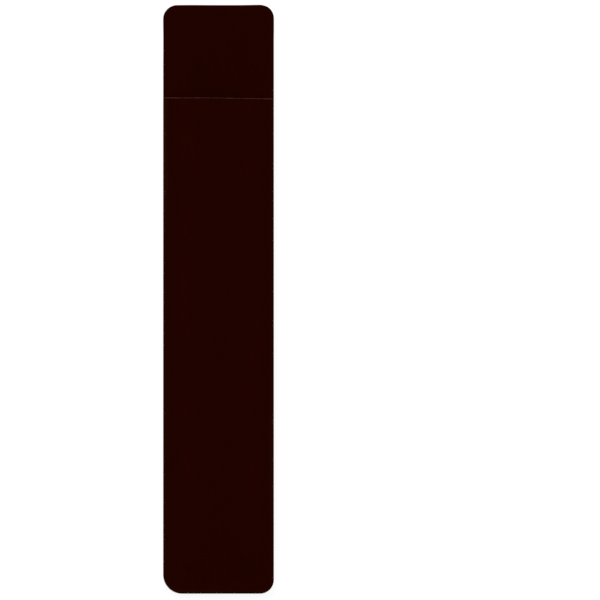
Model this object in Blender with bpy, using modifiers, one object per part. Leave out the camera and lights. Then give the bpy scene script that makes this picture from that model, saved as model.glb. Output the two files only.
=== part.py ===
"""Velvet pen pouch: a slim sleeve of double-faced velvet, open at one end below a tongue.

The pouch lies on its back on a table, opened as a pen opens it. +Z is up, +Y points to the
tongue's end, and the front panel faces up. The origin is on the table, under the middle of the
outline. All lengths are in metres.
"""

import math

import bmesh
import bpy
from mathutils import Vector

# The outline, seen from above
POUCH_LENGTH = 0.160
POUCH_WIDTH = 0.030
TONGUE_LENGTH = 0.0253  # how far the back panel stands past the front panel
MOUTH_SLANT = 0.0004  # how much lower the mouth ends at the right than at the left
TONGUE_LEFT_RADIUS = 0.00375
TONGUE_RIGHT_RADIUS = 0.00365
BOTTOM_LEFT_RADIUS = 0.0051
BOTTOM_RIGHT_RADIUS = 0.0037

# The sheet that both panels are cut from: a core with velvet on both faces
VELVET_THICKNESS = 0.0004
CORE_THICKNESS = 0.0003
PLY_GAP = 0.0001  # clearance between one ply and the next
CORE_INSET = 0.00015  # how far the core's edge lies inside the velvet's
CORE_SHOW = 0.0002  # how far the front core's raw edge stands out at the mouth

# The bonded seam along both sides and the bottom
SEAM_WIDTH = 0.002
BOND_THICKNESS = 0.00015
BOND_INSET = 0.0003  # how far the glue film stays inside the outline and the mouth

# The pocket, opened for a pen up to 10 mm across
FLAT_WIDTH = 0.007  # the strip of the back panel that lies flat on the table
BACK_DROP = 0.0046  # from the seam down to the strip
FRONT_RISE = 0.0055  # from the seam up to the front panel's crown
ARCH_POWER = 1.6  # a higher power narrows the crown and widens the foot beside the seam
CLOSING_LENGTH = 0.016  # the stretch in which the pocket closes down to the bottom seam

# The tongue, which opens out from the pocket's trough towards its end
TONGUE_CURL = 0.0022  # how far its long edges stand above its middle at the end
TONGUE_LIFT = 0.001  # how far its end is off the table

# Divisions of the grids
SLOPE_COLUMNS = 6  # on each side, from the flat strip to the seam
MIDDLE_COLUMNS = 4
CORNER_ROWS = 5
CLOSING_ROWS = 7
BODY_ROWS = 4
TONGUE_ROWS = 6
CORNER_POINTS = 8  # around each corner of the glue film

LEFT, RIGHT = -1, 1
RADII = {
    LEFT: (BOTTOM_LEFT_RADIUS, TONGUE_LEFT_RADIUS),
    RIGHT: (BOTTOM_RIGHT_RADIUS, TONGUE_RIGHT_RADIUS),
}
BOTTOM_Y = -POUCH_LENGTH / 2
TOP_Y = POUCH_LENGTH / 2
MOUTH_Y = TOP_Y - TONGUE_LENGTH
POCKET_WIDTH = POUCH_WIDTH - 2 * SEAM_WIDTH
PANEL_THICKNESS = 2 * VELVET_THICKNESS + CORE_THICKNESS + 2 * PLY_GAP
BOND_BASE = PANEL_THICKNESS + BACK_DROP + PLY_GAP
FRONT_BASE = BOND_BASE + BOND_THICKNESS + PLY_GAP

VELVET_COLOUR = (0.0145, 0.0012, 0.0001, 1.0)
CORE_COLOUR = (0.073, 0.026, 0.022, 1.0)
BOND_COLOUR = (0.05, 0.022, 0.016, 1.0)


def smooth_step(share):
    """0 up to 1 with level ends."""
    share = min(max(share, 0.0), 1.0)
    return share * share * (3.0 - 2.0 * share)


def arch(share):
    """A soft arch: 1 in the middle, and 0 and level at the edge."""
    share = min(max(share, 0.0), 1.0)
    return (1.0 - share * share) ** ARCH_POWER


def reach(y, side, inset):
    """How far the outline, drawn in by inset, lies from the centre line at this y."""
    bottom_radius, top_radius = (max(radius - inset, 0.0) for radius in RADII[side])
    half_width = POUCH_WIDTH / 2 - inset
    below = BOTTOM_Y + inset + bottom_radius - y
    above = y - (TOP_Y - inset - top_radius)
    radius, past = (bottom_radius, below) if below > 0.0 else (top_radius, max(above, 0.0))
    past = min(past, radius)
    return half_width - radius + math.sqrt(radius * radius - past * past)


def mouth_shift(x):
    """How far the slanting mouth lies from its middle at this x."""
    return -MOUTH_SLANT * x / POUCH_WIDTH


def pocket_share(x, y):
    """Where x lies between the centre line, 0, and the seam, 1."""
    return abs(x) / reach(y, LEFT if x < 0.0 else RIGHT, SEAM_WIDTH)


def opening(y):
    """How far the pocket is open at this y: 0 at the bottom seam, 1 along the body."""
    up_share = (y - BOTTOM_Y - SEAM_WIDTH) / CLOSING_LENGTH
    return arch(1.0 - up_share)


def hollow(share):
    """The trough across the back panel: 1 over its flat strip, and 0 and level from the seam out."""
    flat_share = FLAT_WIDTH / POCKET_WIDTH
    return arch((share - flat_share) / (1.0 - flat_share))


def back_height(x, y):
    """The under face of the back panel, above the table."""
    trough = BACK_DROP * (1.0 - hollow(pocket_share(x, y)) * opening(y))
    tongue_end = TONGUE_LIFT + TONGUE_CURL * (1.0 - hollow(2.0 * abs(x) / POCKET_WIDTH))
    tongue_share = smooth_step((y - MOUTH_Y) / TONGUE_LENGTH)
    return trough + (tongue_end - trough) * tongue_share


def front_height(x, y):
    """The under face of the front panel, above the table."""
    return FRONT_BASE + FRONT_RISE * arch(pocket_share(x, y)) * opening(y)


def point_above(height, x, y, distance):
    """The point this far from a panel's under face, square to it."""
    step = PLY_GAP
    slope_x = (height(x + step, y) - height(x - step, y)) / (2.0 * step)
    slope_y = (height(x, y + step) - height(x, y - step)) / (2.0 * step)
    normal = Vector((-slope_x, -slope_y, 1.0)).normalized()
    return Vector((x, y, height(x, y))) + normal * distance


def stretch(start, end, count):
    """Evenly spaced values after start, up to end."""
    return [start + (end - start) * i / count for i in range(1, count + 1)]


def column_shares():
    """The grid's columns as shares of the pocket's half width, left to right."""
    flat_share = FLAT_WIDTH / POCKET_WIDTH
    middle = stretch(-flat_share, flat_share, MIDDLE_COLUMNS)[:-1]
    right = [flat_share] + stretch(flat_share, 1.0, SLOPE_COLUMNS)
    return [-share for share in reversed(right)] + middle + right


def corner_rows(radius):
    """Distances from a rounded end at which the grid has a row."""
    angles = stretch(0.0, math.pi / 2, CORNER_ROWS)
    return [0.0] + [radius * (1.0 - math.cos(angle)) for angle in angles]


def panel_rows(lowest, highest):
    """The y of each row, closer together where the panel bends."""
    bottom_radius = max(BOTTOM_LEFT_RADIUS, BOTTOM_RIGHT_RADIUS)
    top_radius = max(TONGUE_LEFT_RADIUS, TONGUE_RIGHT_RADIUS)
    closed_y = BOTTOM_Y + SEAM_WIDTH
    open_y = closed_y + CLOSING_LENGTH
    rows = [BOTTOM_Y + up for up in corner_rows(bottom_radius)] + [closed_y]
    rows += stretch(BOTTOM_Y + bottom_radius, open_y, CLOSING_ROWS)
    rows += stretch(open_y, MOUTH_Y, BODY_ROWS)
    rows += stretch(MOUTH_Y, TOP_Y - top_radius, TONGUE_ROWS)
    rows += [TOP_Y - down for down in corner_rows(top_radius)]
    inner = {round(y, 6) for y in rows if lowest + PLY_GAP < y < highest - PLY_GAP}
    return [lowest] + sorted(inner) + [highest]


def grid_object(name, columns, rows, place):
    """A grid whose points are placed by a function of their column and row."""
    mesh = bmesh.new()
    bmesh.ops.create_grid(mesh, x_segments=columns - 1, y_segments=rows - 1, size=1.0)
    for vertex in mesh.verts:
        column = round((vertex.co.x + 1.0) / 2.0 * (columns - 1))
        row = round((vertex.co.y + 1.0) / 2.0 * (rows - 1))
        vertex.co = place(column, row)
    data = bpy.data.meshes.new(name)
    mesh.to_mesh(data)
    mesh.free()
    return bpy.data.objects.new(name, data)


def make_ply(name, height, distance, thickness, inset, highest, material):
    """One ply of a panel, from the bottom of the pouch up to highest."""
    shares = column_shares()
    rows = panel_rows(BOTTOM_Y + inset, highest)

    def place(column, row):
        y = rows[row]
        side = LEFT if 2 * column < len(shares) + 1 else RIGHT
        edge = reach(y, side, inset)
        if column in (0, len(shares) + 1):
            x = side * edge
        else:
            seam = min(reach(y, side, SEAM_WIDTH), edge * POCKET_WIDTH / POUCH_WIDTH)
            x = shares[column - 1] * seam
        up_share = (y - BOTTOM_Y) / (MOUTH_Y - BOTTOM_Y)
        y += mouth_shift(x) * up_share if height is front_height else 0.0
        return point_above(height, x, y, distance)

    ply = grid_object(name, len(shares) + 2, len(rows), place)
    ply.data.materials.append(material)
    ply.data.shade_smooth()
    shell = ply.modifiers.new("thickness", "SOLIDIFY")
    shell.thickness = thickness
    shell.offset = 1.0
    shell.use_even_offset = True
    return ply


def corner_arc(side, inset):
    """Points around a bottom corner of the outline drawn in by inset, from the side downwards."""
    radius = RADII[side][0]
    drawn = max(radius - inset, 0.0)
    centre_x = side * (POUCH_WIDTH / 2 - radius)
    centre_y = BOTTOM_Y + radius
    angles = [math.pi / 2 * i / CORNER_POINTS for i in range(CORNER_POINTS + 1)]
    return [
        (centre_x + side * drawn * math.cos(angle), centre_y - drawn * math.sin(angle))
        for angle in angles
    ]


def seam_side(inset):
    """The line of the seam at this inset, from the mouth's left end round to its right end."""
    line = []
    for side in (LEFT, RIGHT):
        x = side * (POUCH_WIDTH / 2 - inset)
        end = (x, MOUTH_Y + mouth_shift(x) - BOND_INSET)
        arc = corner_arc(side, inset)
        line += [end] + arc if side == LEFT else arc[::-1] + [end]
    return line


def make_seam_bond(material):
    """The U of glue film between the panels."""
    outline = seam_side(BOND_INSET) + seam_side(SEAM_WIDTH)[::-1]
    curve = bpy.data.curves.new("seam_bond", "CURVE")
    curve.dimensions = "2D"
    curve.fill_mode = "BOTH"
    curve.extrude = BOND_THICKNESS / 2
    spline = curve.splines.new("POLY")
    spline.points.add(len(outline) - 1)
    for point, (x, y) in zip(spline.points, outline):
        point.co = (x, y, 0.0, 1.0)
    spline.use_cyclic_u = True
    bond = bpy.data.objects.new("seam_bond", curve)
    bond.location.z = BOND_BASE + BOND_THICKNESS / 2
    curve.materials.append(material)
    return bond


def make_panel(side, height, highest, core_highest, velvet, core):
    """The three plies of one panel, from its under face upwards."""
    under, upper = ("outer", "inner") if side == "back" else ("inner", "outer")
    core_base = VELVET_THICKNESS + PLY_GAP
    upper_base = core_base + CORE_THICKNESS + PLY_GAP
    return [
        make_ply(f"{side}_{under}_velvet", height, 0.0, VELVET_THICKNESS, 0.0, highest, velvet),
        make_ply(f"{side}_core", height, core_base, CORE_THICKNESS, CORE_INSET, core_highest, core),
        make_ply(f"{side}_{upper}_velvet", height, upper_base, VELVET_THICKNESS, 0.0, highest, velvet),
    ]


def make_material(name, colour, roughness):
    material = bpy.data.materials.new(name)
    material.use_nodes = True
    shader = material.node_tree.nodes["Principled BSDF"]
    shader.inputs["Base Color"].default_value = colour
    shader.inputs["Roughness"].default_value = roughness
    shader.inputs["Metallic"].default_value = 0.0
    material.diffuse_color = colour
    return material


def main():
    for old in list(bpy.data.objects):
        bpy.data.objects.remove(old, do_unlink=True)
    velvet = make_material("maroon_velvet", VELVET_COLOUR, 1.0)
    core = make_material("rose_core", CORE_COLOUR, 0.95)
    bond = make_material("glue_film", BOND_COLOUR, 0.6)
    pieces = make_panel("back", back_height, TOP_Y, TOP_Y - CORE_INSET, velvet, core)
    pieces.append(make_seam_bond(bond))
    pieces += make_panel("front", front_height, MOUTH_Y, MOUTH_Y + CORE_SHOW, velvet, core)
    collection = bpy.data.collections.new("velvet_pen_pouch")
    bpy.context.scene.collection.children.link(collection)
    for piece in pieces:
        collection.objects.link(piece)


main()
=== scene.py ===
"""Looks of the velvet pen pouch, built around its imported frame. All lengths are in metres."""

import math

import bpy
import numpy as np
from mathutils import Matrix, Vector


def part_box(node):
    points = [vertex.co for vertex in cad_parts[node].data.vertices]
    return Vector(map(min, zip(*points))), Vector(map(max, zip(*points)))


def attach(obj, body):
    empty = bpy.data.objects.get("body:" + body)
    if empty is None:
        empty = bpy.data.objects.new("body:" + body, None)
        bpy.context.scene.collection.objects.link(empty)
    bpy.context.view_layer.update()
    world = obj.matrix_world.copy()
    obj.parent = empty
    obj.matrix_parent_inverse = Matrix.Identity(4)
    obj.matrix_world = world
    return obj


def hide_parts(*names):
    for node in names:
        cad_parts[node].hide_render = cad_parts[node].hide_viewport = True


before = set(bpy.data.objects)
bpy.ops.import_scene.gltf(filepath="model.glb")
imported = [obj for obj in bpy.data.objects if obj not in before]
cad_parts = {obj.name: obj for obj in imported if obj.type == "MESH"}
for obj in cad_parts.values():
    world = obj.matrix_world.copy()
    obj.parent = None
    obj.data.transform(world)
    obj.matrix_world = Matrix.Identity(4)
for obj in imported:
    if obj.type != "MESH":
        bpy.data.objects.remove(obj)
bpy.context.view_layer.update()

# Sizes of the pouch that the boxes of the frame's nodes don't give
SEAM_WIDTH = 0.002
MOUTH_SLANT = 0.0004
FLAT_WIDTH = 0.007
ARCH_POWER = 1.6
CLOSING_LENGTH = 0.016
TONGUE_CURL = 0.0022
TONGUE_LIFT = 0.001
BOTTOM_LEFT_RADIUS = 0.0051
BOTTOM_RIGHT_RADIUS = 0.0037
TONGUE_LEFT_RADIUS = 0.00375
TONGUE_RIGHT_RADIUS = 0.00365
FRAME_VELVET_THICKNESS = 0.0004
PANEL_THICKNESS = 0.0013
PANEL_SPACING = 0.00035
CORE_INSET = 0.00015
BOND_INSET = 0.0003

# The plies as they are here: pressed together, with only a sliver of air between them. The pile
# reaches a little past the outline.
SLIVER = 0.00001
PILE_OVERHANG = 0.00004
VELVET_THICKNESS = 0.00044
CORE_THICKNESS = PANEL_THICKNESS - 2 * VELVET_THICKNESS - 2 * SLIVER
CORE_BASE = VELVET_THICKNESS + SLIVER
UPPER_BASE = PANEL_THICKNESS - VELVET_THICKNESS

# The frame's own places
BACK_LOW, BACK_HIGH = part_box("back_outer_velvet")
FRONT_LOW, FRONT_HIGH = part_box("front_inner_velvet")
BOND_LOW, BOND_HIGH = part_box("seam_bond")
HALF_WIDTH = (BACK_HIGH.x - BACK_LOW.x) / 2
POCKET_HALF = HALF_WIDTH - SEAM_WIDTH
BOTTOM_Y = BACK_LOW.y
TOP_Y = -BACK_LOW.y
MOUTH_Y = FRONT_HIGH.y - MOUTH_SLANT / 2
BACK_DROP = BACK_HIGH.z - FRAME_VELVET_THICKNESS
FRONT_BASE = FRONT_LOW.z
FRONT_RISE = FRONT_HIGH.z - FRAME_VELVET_THICKNESS - FRONT_BASE

# The back panel's slack, as waves that each have a length, a height and a phase. In the tongue
# each wave also has a slant, which comes first.
SLACK_START = 0.35
SLACK_SHIFT = 0.004
SLACK_WAVES = ((0.0093, 0.00007, 0.4), (0.0071, 0.00005, 2.1))
TONGUE_WAVES = ((0.35, (0.019, 0.00014, 1.0)), (-0.6, (0.013, 0.00008, 0.2)))

# The front panel's cut edge at the mouth. The heights of the velvet's waves are shares of
# LIP_WAVE, and those of the felt's are in metres.
LIP_ZONE = 0.0012
CORE_LIP = 0.00003
VELVET_LIP = -0.00009
LIP_WAVE = 0.00002
LIP_TILT = 0.000036
LIP_END_DRAW = 0.00005
VELVET_LIP_WAVES = ((0.0011, 0.5, 0.3), (0.0019, 0.8, 1.7), (0.0047, 0.9, 0.9))
CORE_LIP_WAVES = ((0.0027, 0.00001, 2.2), (0.0071, 0.00002, 0.1))

# Grids
COLUMN_STEP = 0.0004
ROW_STEP = 0.0008
EDGE_STEPS = (0.0, 0.00002, 0.00006, 0.00012, 0.00025, 0.0005)
CORNER_ROWS = 12
EDGE_ROUNDING = 0.00016
EDGE_FACE_SHARE = 0.5
MOUTH_ROUNDING_SHARE = 0.05
SLOPE_STEP = 0.0001
SHARP_ANGLE = math.radians(50.0)

# The pile beside the outline: a painted highlight just inside it, lighter as if the rim caught
# the light. At the left the painted highlight grows towards the mouth, and at the right it is
# strongest round one place.
EDGE_SHADE_WIDTH = 0.00025
RIM_HIGHLIGHT_START = 0.0003
RIM_HIGHLIGHT_WIDTH = 0.0016
LEFT_RIM_HIGHLIGHT = 0.3
LEFT_RIM_HIGHLIGHT_GROWTH = 0.55
LEFT_RIM_HIGHLIGHT_GROWTH_Y = 0.018
LEFT_RIM_HIGHLIGHT_GROWTH_LENGTH = 0.016
RIGHT_RIM_HIGHLIGHT = 0.12
RIGHT_RIM_HIGHLIGHT_PEAK = 0.5
RIGHT_RIM_HIGHLIGHT_PEAK_Y = -0.041
RIGHT_RIM_HIGHLIGHT_PEAK_LENGTH = 0.013
BACK_RIM_HIGHLIGHT = 0.1

# The cloth simulation of the front panel, made much larger than life for the solver's sake
CLOTH_SCALE = 20.0
CLOTH_COLUMNS = 26
CLOTH_ROWS = 133
CLOTH_FRAMES = 40
CLOTH_SEED = 7
CLOTH_SMOOTHING = 30
CLOTH_UNEVENNESS = 0.00025
CLOTH_FREE_OPENING = 0.25
CLOTH_SPARE = 0.001
CLOTH_CAP = 0.00035
CLOTH_QUALITY = 8
CLOTH_TENSION = 80.0
CLOTH_COMPRESSION = 40.0
CLOTH_SHEAR = 20.0
CLOTH_BENDING = 40.0
CLOTH_AIR_DAMPING = 8.0

# Colours, as linear red, green and blue
PILE_DARK = (0.0099, 0.00078, 0.00003)
PILE_LIGHT = (0.0181, 0.00143, 0.00006)
# A painted highlight along the pile's rim
PILE_PAINTED_HIGHLIGHT = (0.02, 0.0044, 0.0017, 1.0)
# Painted shade at the pile's outline
PILE_PAINTED_SHADE = (0.002, 0.0002, 0.0001, 1.0)
PILE_SHEEN = (1.0, 0.085, 0.055, 1.0)
FELT_DARK = (0.03, 0.0106, 0.009)
FELT_LIGHT = (0.111, 0.042, 0.036)
FILM_DARK = (0.03, 0.011, 0.008)
FILM_LIGHT = (0.07, 0.034, 0.025)
FLOOR_GREY = (0.8, 0.8, 0.8, 1.0)
FLOOR_SHADOW_GREY = (0.18, 0.18, 0.18, 1.0)
WHITE = (1.0, 1.0, 1.0, 1.0)

# Sizes of the unevenness in the materials
TIP_SIZE = 0.00005
PILE_SIZE = 0.00012
TUFT_SIZE = 0.00035
NAP_SIZE = 0.0013
LEAN_SIZE = 0.0055
# Patches in the painted rim highlight
HIGHLIGHT_PATCH_SIZE = 0.0009
FIBRE_SIZE = 0.00025
CLUMP_SIZE = 0.0016
FILM_STAIN_SIZE = 0.0008
FILM_GRAIN_SIZE = 0.0004

# Depths of the relief in the materials
PILE_RELIEF = 0.00006
FELT_RELIEF = 0.00008
FILM_RELIEF = 0.00003

# How strongly the painted rim highlight varies from patch to patch, and how dark the painted shade
# at the outline is
HIGHLIGHT_UNEVENNESS = 2.0
PAINTED_SHADE_SHARE = 0.6

# The photograph's frame, and the camera's height: so far up that the pouch looks flat
PIXEL = 0.00027182
FRAME_PIXELS = 600
POUCH_CENTRE_PIXEL = (218.5, 299.25)
CAMERA_HEIGHT = 5.0
SENSOR_WIDTH = 36.0
VIEW_LIMIT = 20.0

# The floor, just under the flat strip that the pouch lies on
FLOOR_SIZE = 6.0
FLOOR_DROP = 0.00002
FLOOR_GLOW = 0.885

# The light
STUDIO_LIGHT = 0.22
LAMP_SIZE = 1.2
KEY_PLACE = (-0.35, 0.7, 2.1)
KEY_POWER = 28.0
FILL_PLACE = (0.5, 0.1, 2.0)
FILL_POWER = 11.5

LEFT, RIGHT = -1, 1


def smooth_step(share):
    share = np.clip(share, 0.0, 1.0)
    return share * share * (3.0 - 2.0 * share)


def arch(share):
    """A soft arch: 1 in the middle, and 0 and level at the edge."""
    share = np.clip(share, 0.0, 1.0)
    return (1.0 - share * share) ** ARCH_POWER


def corner_radius(x, y):
    """The radius of the outline's corner in the quarter where a point lies."""
    bottom = np.where(x < 0.0, BOTTOM_LEFT_RADIUS, BOTTOM_RIGHT_RADIUS)
    top = np.where(x < 0.0, TONGUE_LEFT_RADIUS, TONGUE_RIGHT_RADIUS)
    return np.where(y < 0.0, bottom, top)


def reach(x, y, inset):
    """How far the outline, drawn in by inset, lies from the centre line, on the side of x."""
    radius = np.maximum(corner_radius(x, y) - inset, 0.0)
    past = np.abs(y) - (TOP_Y - inset - radius)
    past = np.minimum(np.maximum(past, 0.0), radius)
    return HALF_WIDTH - inset - radius + np.sqrt(radius * radius - past * past)


def outline_distance(x, y):
    """How far a point lies inside the outline."""
    radius = corner_radius(x, y)
    across = np.abs(x) - (HALF_WIDTH - radius)
    along = np.abs(y) - (TOP_Y - radius)
    outside = np.hypot(np.maximum(across, 0.0), np.maximum(along, 0.0))
    return radius - outside - np.minimum(np.maximum(across, along), 0.0)


def mouth_line(x):
    return MOUTH_Y - MOUTH_SLANT * x / (2.0 * HALF_WIDTH)


def pocket_share(x, y):
    """Where x lies between the centre line, 0, and the seam, 1."""
    return np.abs(x) / reach(x, y, SEAM_WIDTH)


def tongue_share(y):
    """Where y lies between the mouth, 0, and the tongue's end, 1."""
    return smooth_step((y - MOUTH_Y) / (TOP_Y - MOUTH_Y))


def opening(y):
    """How far the pocket is open at this y: 0 at the bottom seam, 1 along the body."""
    return arch(1.0 - (y - BOTTOM_Y - SEAM_WIDTH) / CLOSING_LENGTH)


def waves(position, parts):
    """A sum of sine waves, each given as its length, height and phase."""
    total = np.zeros_like(position)
    for length, height, phase in parts:
        total += height * np.sin(2.0 * math.pi * position / length + phase)
    return total


def back_ripples(x, y):
    """Slack beside the seams and in the tongue, none where the back lies on the table."""
    share = np.clip(pocket_share(x, y), 0.0, 1.0)
    beside_seam = np.sin(math.pi * smooth_step((share - SLACK_START) / (1.0 - SLACK_START)))
    along = waves(y + SLACK_SHIFT * np.sign(x), SLACK_WAVES)
    tongue = sum(waves(y + slant * x, (wave,)) for slant, wave in TONGUE_WAVES)
    in_tongue = tongue_share(y)
    return beside_seam * along * opening(y) * (1.0 - in_tongue) + tongue * in_tongue * share


def hollow(share):
    """The back panel's trough: 1 over its flat strip, and 0 and level from the seam out."""
    flat_share = FLAT_WIDTH / 2.0 / POCKET_HALF
    return arch((share - flat_share) / (1.0 - flat_share))


def back_height(x, y):
    """The under face of the back panel, above the table."""
    trough = BACK_DROP * (1.0 - hollow(pocket_share(x, y)) * opening(y))
    tongue_end = TONGUE_LIFT + TONGUE_CURL * (1.0 - hollow(np.abs(x) / POCKET_HALF))
    return trough + (tongue_end - trough) * tongue_share(y) + back_ripples(x, y)


def front_form(x, y):
    """The under face of the front panel before the cloth settles."""
    return FRONT_BASE + FRONT_RISE * arch(pocket_share(x, y)) * opening(y)


def even_noise(shape, passes):
    """Smooth seeded noise of standard height."""
    field = np.random.default_rng(CLOTH_SEED).normal(size=shape)
    for _ in range(passes):
        for axis in (0, 1):
            field = (np.roll(field, 1, axis) + 2.0 * field + np.roll(field, -1, axis)) / 4.0
    return field / field.std()


def settle_front():
    """How far each point of the front panel moves up or down when its cloth settles."""
    across = np.linspace(-1.0, 1.0, CLOTH_COLUMNS + 1)
    along = np.linspace(BOTTOM_Y + SEAM_WIDTH, MOUTH_Y, CLOTH_ROWS + 1)
    share, y = np.meshgrid(across, along)
    x = share * reach(share, y, SEAM_WIDTH)
    form = front_form(x, y)
    free = (1.0 - share**2) * np.minimum(opening(y) / CLOTH_FREE_OPENING, 1.0)
    start = form + CLOTH_UNEVENNESS * even_noise(form.shape, CLOTH_SMOOTHING) * free
    points = np.stack([x, y, start], axis=-1) * CLOTH_SCALE
    index = np.arange(form.size).reshape(form.shape)
    cloth_object = mesh_object("settling_front", points.reshape(-1, 3), quads(index))
    pins = cloth_object.vertex_groups.new(name="pins")
    pinned = np.concatenate([index[:, 0], index[:, -1], index[0, :]])
    pins.add(pinned.tolist(), 1.0, "REPLACE")
    modifier = cloth_object.modifiers.new("cloth", "CLOTH")
    cloth = modifier.settings
    cloth.quality = CLOTH_QUALITY
    cloth.tension_stiffness = CLOTH_TENSION
    cloth.compression_stiffness = CLOTH_COMPRESSION
    cloth.shear_stiffness = CLOTH_SHEAR
    cloth.bending_stiffness = CLOTH_BENDING
    cloth.air_damping = CLOTH_AIR_DAMPING
    cloth.vertex_group_mass = "pins"
    cloth.shrink_min = -CLOTH_SPARE
    cloth.effector_weights.gravity = 0.0
    modifier.collision_settings.use_collision = False
    modifier.point_cache.frame_end = CLOTH_FRAMES
    for step in range(1, CLOTH_FRAMES + 1):
        bpy.context.scene.frame_set(step)
    settled = cloth_object.evaluated_get(bpy.context.evaluated_depsgraph_get()).data
    places = np.empty(form.size * 3, dtype=np.float32)
    settled.vertices.foreach_get("co", places)
    moved = places.reshape(*form.shape, 3)[:, :, 2] / CLOTH_SCALE - form
    bpy.data.objects.remove(cloth_object)
    bpy.context.scene.frame_set(1)
    return CLOTH_CAP * np.tanh(moved / CLOTH_CAP)


def spline_weights(share):
    """Weights of the four neighbours for a smooth curve through evenly spaced values."""
    return (
        (-share + 2.0 * share**2 - share**3) / 2.0,
        (2.0 - 5.0 * share**2 + 3.0 * share**3) / 2.0,
        (share + 4.0 * share**2 - 3.0 * share**3) / 2.0,
        (share**3 - share**2) / 2.0,
    )


def sample(field, row, column):
    """The smooth surface through a field's values, at fractional rows and columns."""
    rows, columns = field.shape
    row = np.clip(row, 0.0, rows - 1.0)
    column = np.clip(column, 0.0, columns - 1.0)
    row_start = np.minimum(row.astype(int), rows - 2)
    column_start = np.minimum(column.astype(int), columns - 2)
    total = np.zeros_like(row)
    for i, row_weight in enumerate(spline_weights(row - row_start)):
        near_row = np.clip(row_start + i - 1, 0, rows - 1)
        for j, column_weight in enumerate(spline_weights(column - column_start)):
            near_column = np.clip(column_start + j - 1, 0, columns - 1)
            total += row_weight * column_weight * field[near_row, near_column]
    return total


def front_height(x, y):
    """The under face of the front panel, above the table."""
    form = front_form(x, y)
    if front_settling is None:
        return form
    share = np.clip(x / reach(x, y, SEAM_WIDTH), -1.0, 1.0)
    up_share = (y - BOTTOM_Y - SEAM_WIDTH) / (MOUTH_Y - BOTTOM_Y - SEAM_WIDTH)
    inside = np.where((np.abs(share) < 1.0) & (up_share > 0.0), 1.0, 0.0)
    row = up_share * CLOTH_ROWS
    column = (share + 1.0) / 2.0 * CLOTH_COLUMNS
    return form + inside * sample(front_settling, row, column)


def steps(start, end, size):
    """Even steps of about this size after start, up to end."""
    count = max(round(abs(end - start) / size), 1)
    return start + (end - start) * np.arange(1, count + 1) / count


def panel_columns(size):
    """Columns from -1 to 1 across the pocket, and beyond it to -2 and 2 at the outline."""
    pocket = steps(0.0, POCKET_HALF, size) / POCKET_HALF
    edge = 1.0 - np.array(EDGE_STEPS) / SEAM_WIDTH
    seam = 1.0 + np.concatenate([steps(0.0, edge[-1], size / SEAM_WIDTH), edge[:-1][::-1]])
    right = np.concatenate([pocket, seam])
    return np.concatenate([-right[::-1], [0.0], right])


def panel_rows(lowest, highest, size):
    """The y of each row, closer together round the corners and at a cut edge."""
    turns = np.arange(CORNER_ROWS + 1) / CORNER_ROWS * math.pi / 2.0
    bottom_radius = max(BOTTOM_LEFT_RADIUS, BOTTOM_RIGHT_RADIUS)
    bottom = lowest + (BOTTOM_Y + bottom_radius - lowest) * (1.0 - np.cos(turns))
    top_radius = max(TONGUE_LEFT_RADIUS, TONGUE_RIGHT_RADIUS)
    if highest > TOP_Y - top_radius:
        top = highest - (highest - TOP_Y + top_radius) * (1.0 - np.cos(turns))
    else:
        rounded = [step * MOUTH_ROUNDING_SHARE for step in EDGE_STEPS]
        top = highest - np.array(rounded + [EDGE_STEPS[-1]])
    body = steps(bottom[-1], top[-1], size)[:-1]
    return np.concatenate([bottom, body, top[::-1]])


def panel_points(rows, columns, inset):
    """X and y of the grid's points, seen from above."""
    y = np.repeat(rows[:, None], len(columns), axis=1)
    place = np.repeat(columns[None, :], len(rows), axis=0)
    edge = reach(place, y, inset)
    seam = np.minimum(reach(place, y, SEAM_WIDTH), edge * POCKET_HALF / HALF_WIDTH)
    beyond = np.clip(np.abs(place) - 1.0, 0.0, 1.0)
    x = np.minimum(np.abs(place), 1.0) * seam + beyond * (edge - seam)
    return np.sign(place) * x, y


def slope_along(height, x, y, step_x, step_y):
    """How steeply a panel's under face rises over a small step to both sides of a point."""
    rise = height(x + step_x, y + step_y) - height(x - step_x, y - step_y)
    return rise / (2.0 * SLOPE_STEP)


def surface_above(height, x, y, distance):
    """Points this far from a panel's under face, square to it."""
    slope_x = slope_along(height, x, y, SLOPE_STEP, 0.0)
    slope_y = slope_along(height, x, y, 0.0, SLOPE_STEP)
    length = np.sqrt(slope_x**2 + slope_y**2 + 1.0)
    lifted = distance / length
    return np.stack([x - slope_x * lifted, y - slope_y * lifted, height(x, y) + lifted], axis=-1)


def quads(index):
    """The faces of a grid of vertex numbers."""
    corners = [index[:-1, :-1], index[:-1, 1:], index[1:, 1:], index[1:, :-1]]
    return np.stack(corners, axis=-1).reshape(-1, 4)


def mesh_object(name, points, faces):
    mesh = bpy.data.meshes.new(name)
    mesh.from_pydata(points.tolist(), [], faces.tolist())
    mesh.update()
    piece = bpy.data.objects.new(name, mesh)
    bpy.context.scene.collection.objects.link(piece)
    return piece


def edge_shade(x, y):
    """Painted shade at the outline, where the pile turns away: 0 inside and 1 at the edge."""
    return 1.0 - smooth_step(outline_distance(x, y) / EDGE_SHADE_WIDTH)


def rim_highlight_band(x, y):
    """A band just inside the outline, where the rim highlight is painted."""
    distance = outline_distance(x, y)
    fade = 1.0 - smooth_step((distance - RIM_HIGHLIGHT_START) / RIM_HIGHLIGHT_WIDTH)
    return smooth_step(distance / RIM_HIGHLIGHT_START) * fade**2


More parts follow.
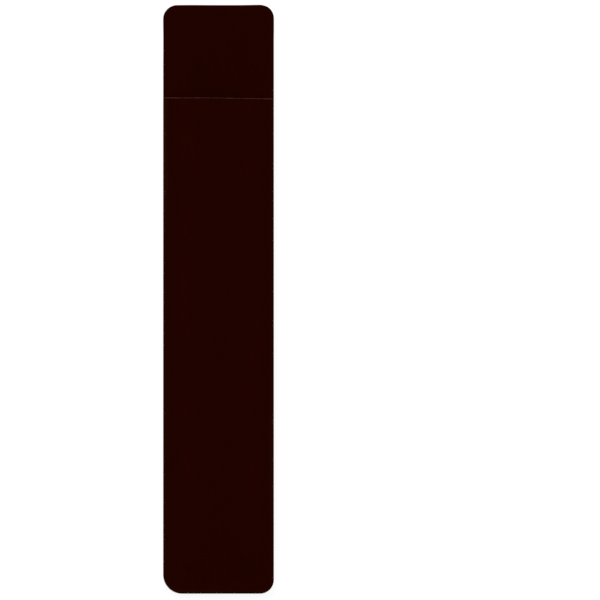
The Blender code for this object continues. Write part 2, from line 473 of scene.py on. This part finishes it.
def front_rim_highlight(x, y):
    """How strong the front's painted rim highlight is, on each side of its centre line."""
    growth = smooth_step((y - LEFT_RIM_HIGHLIGHT_GROWTH_Y) / LEFT_RIM_HIGHLIGHT_GROWTH_LENGTH)
    peak = np.exp(-(((y - RIGHT_RIM_HIGHLIGHT_PEAK_Y) / RIGHT_RIM_HIGHLIGHT_PEAK_LENGTH) ** 2))
    left = LEFT_RIM_HIGHLIGHT + LEFT_RIM_HIGHLIGHT_GROWTH * growth
    right = RIGHT_RIM_HIGHLIGHT + RIGHT_RIM_HIGHLIGHT_PEAK * peak
    return rim_highlight_band(x, y) * np.where(x < 0.0, left, right)


# The tongue's painted rim highlight, weaker than the front's
def back_rim_highlight(x, y):
    return BACK_RIM_HIGHLIGHT * rim_highlight_band(x, y)


def add_field(piece, name, values):
    """Gives a ply's lower and upper points the same values, for its material."""
    field = piece.data.attributes.new(name, "FLOAT", "POINT")
    field.data.foreach_set("value", np.tile(values.ravel(), 2))


def make_ply(name, height, base, thickness, inset, highest, lip, material):
    """One ply of a panel: a closed sheet whose cut edges are rounded on top."""
    rows = panel_rows(BOTTOM_Y + inset, highest, ROW_STEP)
    x, y = panel_points(rows, panel_columns(COLUMN_STEP), inset)
    edge = outline_distance(x, y) - inset
    is_front = height is front_height
    if is_front:
        edge = np.minimum(edge, (highest - y) / MOUTH_ROUNDING_SHARE)
        y = y + (mouth_line(x) - MOUTH_Y) * (y - BOTTOM_Y) / (highest - BOTTOM_Y)
        y = y + lip(x) * smooth_step((y - highest + LIP_ZONE) / LIP_ZONE)
    edge = np.maximum(edge, 0.0)
    turn = 1.0 - np.minimum(edge / EDGE_ROUNDING, 1.0)
    rounding = np.sqrt(1.0 - turn**2)
    full = thickness * (EDGE_FACE_SHARE + (1.0 - EDGE_FACE_SHARE) * rounding)
    lower = surface_above(height, x, y, np.full_like(x, base))
    upper = surface_above(height, x, y, base + full)
    index = np.arange(x.size).reshape(x.shape)
    border = np.concatenate(
        [index[0, :-1], index[:-1, -1], index[-1, :0:-1], index[:0:-1, 0]]
    )
    after = np.roll(border, -1)
    sides = np.stack([border, after, after + x.size, border + x.size], axis=-1)
    faces = np.concatenate([quads(index)[:, ::-1], quads(index) + x.size, sides])
    points = np.concatenate([lower.reshape(-1, 3), upper.reshape(-1, 3)])
    piece = mesh_object(name, points, faces)
    piece.data.shade_smooth()
    piece.data.set_sharp_from_angle(angle=SHARP_ANGLE)
    # Painted shade at the outline, and a painted highlight just inside it, for the material
    add_field(piece, "edge_shade", edge_shade(x, y))
    add_field(piece, "painted_rim_highlight", front_rim_highlight(x, y) if is_front else back_rim_highlight(x, y))
    piece.data.materials.append(material)
    return piece


def no_lip(x):
    return np.zeros_like(x)


def tilted(x):
    """The mouth's edges end a little short of the frame's, most of all at the left."""
    return LIP_TILT * (x / HALF_WIDTH - 1.0)


def velvet_lip(x):
    """The pile's ragged edge at the mouth, a little behind the felt's and most so at the sides."""
    ragged = LIP_WAVE * waves(x, VELVET_LIP_WAVES)
    return tilted(x) + VELVET_LIP + ragged - LIP_END_DRAW * (x / HALF_WIDTH) ** 4


def core_lip(x):
    """The felt's cut edge at the mouth, a little ahead of the pile."""
    return tilted(x) + waves(x, CORE_LIP_WAVES)


class Shader:
    """A new material with its node tree's shader, and short ways to add nodes to it."""

    def __init__(self, name):
        self.material = bpy.data.materials.new(name)
        self.material.use_nodes = True
        self.tree = self.material.node_tree
        self.surface = self.tree.nodes["Principled BSDF"]
        self.place = self.node("ShaderNodeTexCoord").outputs["Object"]

    def node(self, kind, **inputs):
        node = self.tree.nodes.new(kind)
        for name, value in inputs.items():
            self.give(node.inputs[name.replace("_", " ")], value)
        return node

    def give(self, socket, value):
        if isinstance(value, bpy.types.NodeSocket):
            self.tree.links.new(value, socket)
        else:
            socket.default_value = value

    def look(self, name, value):
        """One of the surface's own settings."""
        self.give(self.surface.inputs[name], value)

    def maths(self, operation, first, second):
        node = self.node("ShaderNodeMath")
        node.operation = operation
        self.give(node.inputs[0], first)
        self.give(node.inputs[1], second)
        return node.outputs[0]

    def noise(self, size, detail=2.0, stretch=(1.0, 1.0, 1.0)):
        """Noise centred on 0 whose cells are about this size, or longer where stretch is small."""
        place = self.node("ShaderNodeMapping", Vector=self.place, Scale=stretch).outputs[0]
        texture = self.node("ShaderNodeTexNoise", Vector=place, Scale=1.0 / size, Detail=detail)
        return self.maths("SUBTRACT", texture.outputs["Fac"], 0.5)

    def weighted(self, *parts):
        """The sum of sockets, each times its weight."""
        total = 0.0
        for weight, socket in parts:
            total = self.maths("ADD", total, self.maths("MULTIPLY", socket, weight))
        return total

    def attribute(self, name):
        node = self.node("ShaderNodeAttribute")
        node.attribute_name = name
        return node.outputs["Fac"]

    def mix(self, share, first, second):
        """The first colour where share is 0, and the second where it is 1."""
        node = self.node("ShaderNodeMix")
        node.data_type = "RGBA"
        self.give(node.inputs[0], share)
        self.give(node.inputs[6], first)
        self.give(node.inputs[7], second)
        return node.outputs[2]

    def blend(self, share, low, high):
        """A colour between two colours."""
        ramp = self.node("ShaderNodeValToRGB", Fac=share)
        ramp.color_ramp.elements[0].color = (*low, 1.0)
        ramp.color_ramp.elements[1].color = (*high, 1.0)
        return ramp.outputs["Color"]

    def bump(self, height, distance):
        bump = self.node("ShaderNodeBump", Height=height, Distance=distance, Strength=1.0)
        self.look("Normal", bump.outputs["Normal"])


def make_velvet():
    """Short dense pile: nearly black maroon from above, redder where its fibres are seen askew."""
    shader = Shader("maroon_velvet")
    tips = shader.noise(TIP_SIZE, 2.0, (1.0, 1.0, 0.3))
    pile = shader.noise(PILE_SIZE, 0.0, (1.0, 0.35, 0.3))
    tufts = shader.noise(TUFT_SIZE)
    nap = shader.noise(NAP_SIZE, 3.0, (1.0, 0.28, 1.0))
    lean = shader.noise(LEAN_SIZE, 0.0, (1.0, 0.5, 1.0))
    shade = shader.weighted((0.9, tips), (0.4, pile), (0.6, tufts), (0.35, nap), (0.15, lean))
    body = shader.blend(shader.maths("ADD", shade, 0.5), PILE_DARK, PILE_LIGHT)
    # A painted highlight along the rim, in patches
    patches = shader.weighted((HIGHLIGHT_UNEVENNESS, shader.noise(HIGHLIGHT_PATCH_SIZE)))
    uneven = shader.maths("ADD", patches, 1.0)
    highlight_share = shader.maths("MULTIPLY", shader.attribute("painted_rim_highlight"), uneven)
    # Painted shade where the pile turns away at the outline
    painted_shade = shader.maths("MULTIPLY", shader.attribute("edge_shade"), PAINTED_SHADE_SHARE)
    colour = shader.mix(highlight_share, body, PILE_PAINTED_HIGHLIGHT)
    colour = shader.mix(painted_shade, colour, PILE_PAINTED_SHADE)
    shader.look("Base Color", colour)
    shader.look("Roughness", 1.0)
    shader.look("Specular IOR Level", 0.0)
    shader.look("Sheen Weight", 0.55)
    shader.look("Sheen Roughness", 0.38)
    shader.look("Sheen Tint", PILE_SHEEN)
    relief = shader.weighted((0.6, tips), (0.25, pile), (0.35, tufts), (5.0, lean))
    shader.bump(relief, PILE_RELIEF)
    return shader.material


def make_felt():
    """Dusty rose felt, with shade painted dark between its fibres and uneven tone in clumps."""
    shader = Shader("core_felt")
    fibres = shader.noise(FIBRE_SIZE, 4.0, (0.5, 1.0, 1.0))
    clumps = shader.noise(CLUMP_SIZE, 2.0)
    # Painted shade between the fibres, where the relief dips, and uneven tone in clumps
    share = shader.maths("ADD", shader.weighted((1.6, fibres), (1.2, clumps)), 0.5)
    shader.look("Base Color", shader.blend(share, FELT_DARK, FELT_LIGHT))
    shader.look("Roughness", 0.95)
    shader.look("Specular IOR Level", 0.1)
    shader.bump(fibres, FELT_RELIEF)
    return shader.material


def make_film():
    """Hot-melt film, dull and stained by the pile on both sides."""
    shader = Shader("glue_film")
    share = shader.maths("ADD", shader.noise(FILM_STAIN_SIZE, 3.0), 0.5)
    shader.look("Base Color", shader.blend(share, FILM_DARK, FILM_LIGHT))
    shader.look("Roughness", 0.6)
    shader.look("Specular IOR Level", 0.2)
    shader.bump(shader.noise(FILM_GRAIN_SIZE), FILM_RELIEF)
    return shader.material


def corner_arc(side, inset):
    """The bottom corner on one side, from the side edge to the bottom edge."""
    radius = BOTTOM_LEFT_RADIUS if side == LEFT else BOTTOM_RIGHT_RADIUS
    drawn = max(radius - inset, 0.0)
    angles = [math.pi / 2.0 * i / CORNER_ROWS for i in range(CORNER_ROWS + 1)]
    return [
        (
            side * (HALF_WIDTH - radius + drawn * math.cos(angle)),
            BOTTOM_Y + radius - drawn * math.sin(angle),
        )
        for angle in angles
    ]


def seam_line(inset):
    """The line of the seam at this inset, from the mouth's left end round to its right end."""
    line = []
    for side in (LEFT, RIGHT):
        x = side * (HALF_WIDTH - inset)
        end = (x, float(mouth_line(x)) - BOND_INSET)
        arc = corner_arc(side, inset)
        line += [end] + arc if side == LEFT else arc[::-1] + [end]
    return line


def make_bond(material):
    """The U of glue film between the panels."""
    outline = seam_line(BOND_INSET) + seam_line(SEAM_WIDTH)[::-1]
    curve = bpy.data.curves.new("seam_film", "CURVE")
    curve.dimensions = "2D"
    curve.fill_mode = "BOTH"
    curve.extrude = PANEL_SPACING / 2.0 - SLIVER
    spline = curve.splines.new("POLY")
    spline.points.add(len(outline) - 1)
    for point, (x, y) in zip(spline.points, outline):
        point.co = (x, y, 0.0, 1.0)
    spline.use_cyclic_u = True
    curve.materials.append(material)
    bond = bpy.data.objects.new("seam_film", curve)
    bond.location.z = (BOND_LOW.z + BOND_HIGH.z) / 2.0
    bpy.context.scene.collection.objects.link(bond)
    return bond


def make_camera():
    """Looks straight down. The lens gives PIXEL its size at the top of the seams."""
    data = bpy.data.cameras.new("camera")
    camera = bpy.data.objects.new("camera", data)
    bpy.context.scene.collection.objects.link(camera)
    seam_top = FRONT_BASE + PANEL_THICKNESS
    data.sensor_width = SENSOR_WIDTH
    data.lens = SENSOR_WIDTH * (CAMERA_HEIGHT - seam_top) / (PIXEL * FRAME_PIXELS)
    data.clip_end = VIEW_LIMIT
    camera.location = (
        (FRAME_PIXELS / 2.0 - POUCH_CENTRE_PIXEL[0]) * PIXEL,
        (POUCH_CENTRE_PIXEL[1] - FRAME_PIXELS / 2.0) * PIXEL,
        CAMERA_HEIGHT,
    )
    return camera


def seen_directly(tree):
    """1 for rays from the camera, straight or by a mirror or glass, and 0 for the light's own."""
    paths = tree.nodes.new("ShaderNodeLightPath")
    seen = paths.outputs["Is Camera Ray"]
    for kind in ("Is Glossy Ray", "Is Transmission Ray"):
        either = tree.nodes.new("ShaderNodeMath")
        either.operation = "MAXIMUM"
        tree.links.new(seen, either.inputs[0])
        tree.links.new(paths.outputs[kind], either.inputs[1])
        seen = either.outputs[0]
    return seen


def make_floor():
    """A plain floor: white to the camera, with the pouch's soft shadow left on it."""
    material = bpy.data.materials.new("floor")
    material.use_nodes = True
    tree = material.node_tree
    tree.nodes.clear()
    plain = tree.nodes.new("ShaderNodeBsdfDiffuse")
    plain.inputs["Color"].default_value = FLOOR_GREY
    shaded = tree.nodes.new("ShaderNodeBsdfDiffuse")
    shaded.inputs["Color"].default_value = FLOOR_SHADOW_GREY
    glow = tree.nodes.new("ShaderNodeEmission")
    glow.inputs["Strength"].default_value = FLOOR_GLOW
    bright = tree.nodes.new("ShaderNodeAddShader")
    tree.links.new(shaded.outputs[0], bright.inputs[0])
    tree.links.new(glow.outputs[0], bright.inputs[1])
    mix = tree.nodes.new("ShaderNodeMixShader")
    tree.links.new(seen_directly(tree), mix.inputs[0])
    tree.links.new(plain.outputs[0], mix.inputs[1])
    tree.links.new(bright.outputs[0], mix.inputs[2])
    output = tree.nodes.new("ShaderNodeOutputMaterial")
    tree.links.new(mix.outputs[0], output.inputs["Surface"])
    bpy.ops.mesh.primitive_plane_add(size=FLOOR_SIZE)
    floor = bpy.context.object
    floor.name = "floor"
    floor.location.z = -FLOOR_DROP
    floor.data.materials.append(material)


def make_world():
    """Even studio light, and white behind the pouch."""
    world = bpy.data.worlds.new("studio")
    bpy.context.scene.world = world
    world.use_nodes = True
    tree = world.node_tree
    soft_light = tree.nodes["Background"]
    soft_light.inputs["Color"].default_value = WHITE
    soft_light.inputs["Strength"].default_value = STUDIO_LIGHT
    backdrop = tree.nodes.new("ShaderNodeBackground")
    backdrop.inputs["Color"].default_value = WHITE
    backdrop.inputs["Strength"].default_value = 1.0
    mix = tree.nodes.new("ShaderNodeMixShader")
    tree.links.new(seen_directly(tree), mix.inputs[0])
    tree.links.new(soft_light.outputs[0], mix.inputs[1])
    tree.links.new(backdrop.outputs[0], mix.inputs[2])
    tree.links.new(mix.outputs[0], tree.nodes["World Output"].inputs["Surface"])


def make_lamp(name, place, power):
    """A square lamp that shines at the pouch."""
    light = bpy.data.lights.new(name, "AREA")
    light.size = LAMP_SIZE
    light.energy = power
    lamp = bpy.data.objects.new(name, light)
    bpy.context.scene.collection.objects.link(lamp)
    lamp.location = place
    lamp.rotation_euler = (-Vector(place)).to_track_quat("-Z", "Y").to_euler()


# The front's settling comes first, because its height needs it.
front_settling = settle_front()

velvet = make_velvet()
felt = make_felt()

# Each ply's name, node, panel's under face, height in its panel, slot, and what it rests on
PLIES = (
    ("back_velvet_outside", "back_outer_velvet", back_height, 0.0, "velvet", []),
    ("back_felt", "back_core", back_height, CORE_BASE, "core", ["back_velvet_outside"]),
    ("back_velvet_inside", "back_inner_velvet", back_height, UPPER_BASE, "velvet", ["back_felt"]),
    ("front_velvet_inside", "front_inner_velvet", front_height, 0.0, "velvet", ["seam_film"]),
    ("front_felt", "front_core", front_height, CORE_BASE, "core", ["front_velvet_inside"]),
    (
        "front_velvet_outside",
        "front_outer_velvet",
        front_height,
        UPPER_BASE,
        "velvet",
        ["front_felt"],
    ),
)
for name, node, height, base, slot, rests_on in PLIES:
    is_core = slot == "core"
    material = felt if is_core else velvet
    thickness = CORE_THICKNESS if is_core else VELVET_THICKNESS
    inset = CORE_INSET if is_core else -PILE_OVERHANG
    if height is front_height:
        highest = MOUTH_Y + (CORE_LIP if is_core else 0.0)
        lip = core_lip if is_core else velvet_lip
    else:
        highest = TOP_Y - inset
        lip = no_lip
    piece = make_ply(name, height, base, thickness, inset, highest, lip, material)
    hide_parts(node)
    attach(piece, "root")

bond = make_bond(make_film())
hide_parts("seam_bond")
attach(bond, "root")

bpy.context.scene.camera = make_camera()
make_floor()
make_world()
make_lamp("key", KEY_PLACE, KEY_POWER)
make_lamp("fill", FILL_PLACE, FILL_POWER)
bpy.context.scene.view_settings.view_transform = "Standard"
